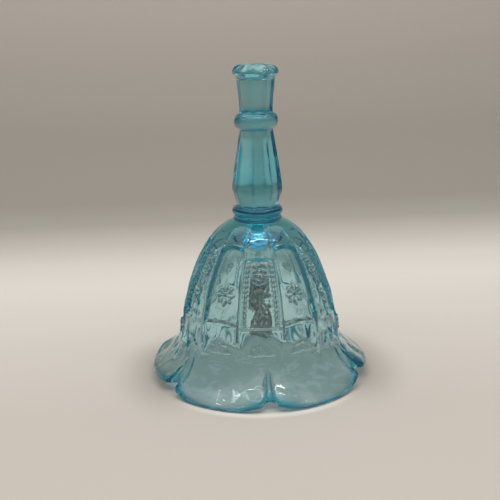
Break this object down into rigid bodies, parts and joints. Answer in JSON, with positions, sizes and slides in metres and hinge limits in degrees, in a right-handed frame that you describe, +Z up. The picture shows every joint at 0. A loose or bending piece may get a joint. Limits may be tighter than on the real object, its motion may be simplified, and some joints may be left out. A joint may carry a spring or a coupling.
{
  "type": "glass hand bell",
  "caption": "Pressed aqua glass hand bell with a faceted solid handle, panelled bowl and crimped skirt, with a metal clapper hung on a short chain.",
  "frame": {"origin": "on the table plane, at the centre of the bell's base", "axes": "+Z up along the handle; -Y is the front, where a crimp of the skirt faces; +X to its right"},
  "size_m": [0.12, 0.1188, 0.1697],
  "materials": {
    "glass": "polished transparent aqua",
    "cement": "matt white setting cement",
    "wire": "plated steel wire",
    "clapper_metal": "bright plated metal"
  },
  "bodies": {
    "bell": {"glass_bell": "glass", "anchor_plug": "cement", "anchor_eye": "wire"},
    "link_1": {"chain_link_1": "wire"},
    "link_2": {"chain_link_2": "wire"},
    "clapper": {"clapper_eye": "wire", "clapper_body": "clapper_metal"}
  },
  "joints": [
    {"name": "link_1_swing", "type": "hinge", "parent": "bell", "child": "link_1", "pos_m": [0, 0, 0.0686], "axis": [1, 0, 0], "range_deg": [-18, 18]},
    {"name": "link_2_swing", "type": "hinge", "parent": "link_1", "child": "link_2", "pos_m": [0, 0, 0.0648], "axis": [0, 1, 0], "range_deg": [-18, 18]},
    {"name": "clapper_swing", "type": "hinge", "parent": "link_2", "child": "clapper", "pos_m": [0, 0, 0.0609], "axis": [1, 0, 0], "range_deg": [-18, 18]}
  ]
}
